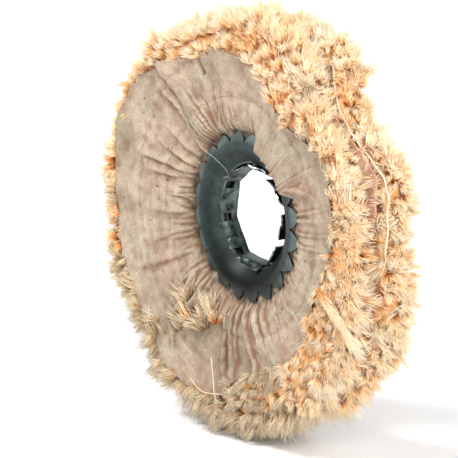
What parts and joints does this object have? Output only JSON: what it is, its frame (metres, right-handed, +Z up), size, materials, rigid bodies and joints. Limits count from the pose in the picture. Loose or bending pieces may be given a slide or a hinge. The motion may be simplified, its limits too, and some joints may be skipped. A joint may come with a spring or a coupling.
{
  "type": "ventilated sisal buffing wheel",
  "caption": "Buffing wheel of stitched woven sisal between cotton covers, in two sections with a groove between them, gripped at the hub by toothed steel clinch rings.",
  "frame": {"origin": "centre of the bore, midway between the wheel's two faces", "axes": "+Y along the wheel's axis, out of the back face; -Y is the front face, where the tabs end; +Z up; +X to the right as seen from the front"},
  "size_m": [0.2495, 0.0309, 0.2497],
  "materials": {
    "clinch_ring_steel": "thin grey-green zinc and phosphate coat on deep-drawn sheet steel, semi-matt",
    "cotton_cover": "plain-woven unbleached cotton, matt, creased where it is gathered at the hub",
    "sisal_cloth": "coarse woven sisal, slightly shiny straw-coloured fibres, frayed at the rim",
    "sewing_thread": "waxed cotton sewing thread, matt"
  },
  "bodies": {
    "root": {"front_clinch_ring": "clinch_ring_steel", "back_clinch_ring": "clinch_ring_steel", "front_cover": "cotton_cover", "back_cover": "cotton_cover", "front_inner_cover": "cotton_cover", "back_inner_cover": "cotton_cover", "front_sisal_ply_1": "sisal_cloth", "front_sisal_ply_2": "sisal_cloth", "front_sisal_ply_3": "sisal_cloth", "front_sisal_ply_4": "sisal_cloth", "back_sisal_ply_1": "sisal_cloth", "back_sisal_ply_2": "sisal_cloth", "back_sisal_ply_3": "sisal_cloth", "back_sisal_ply_4": "sisal_cloth", "front_needle_thread_inner": "sewing_thread", "front_needle_thread_outer": "sewing_thread", "back_needle_thread_inner": "sewing_thread", "back_needle_thread_outer": "sewing_thread", "front_bobbin_thread_inner": "sewing_thread", "front_bobbin_thread_outer": "sewing_thread", "back_bobbin_thread_inner": "sewing_thread", "back_bobbin_thread_outer": "sewing_thread"}
  },
  "joints": []
}
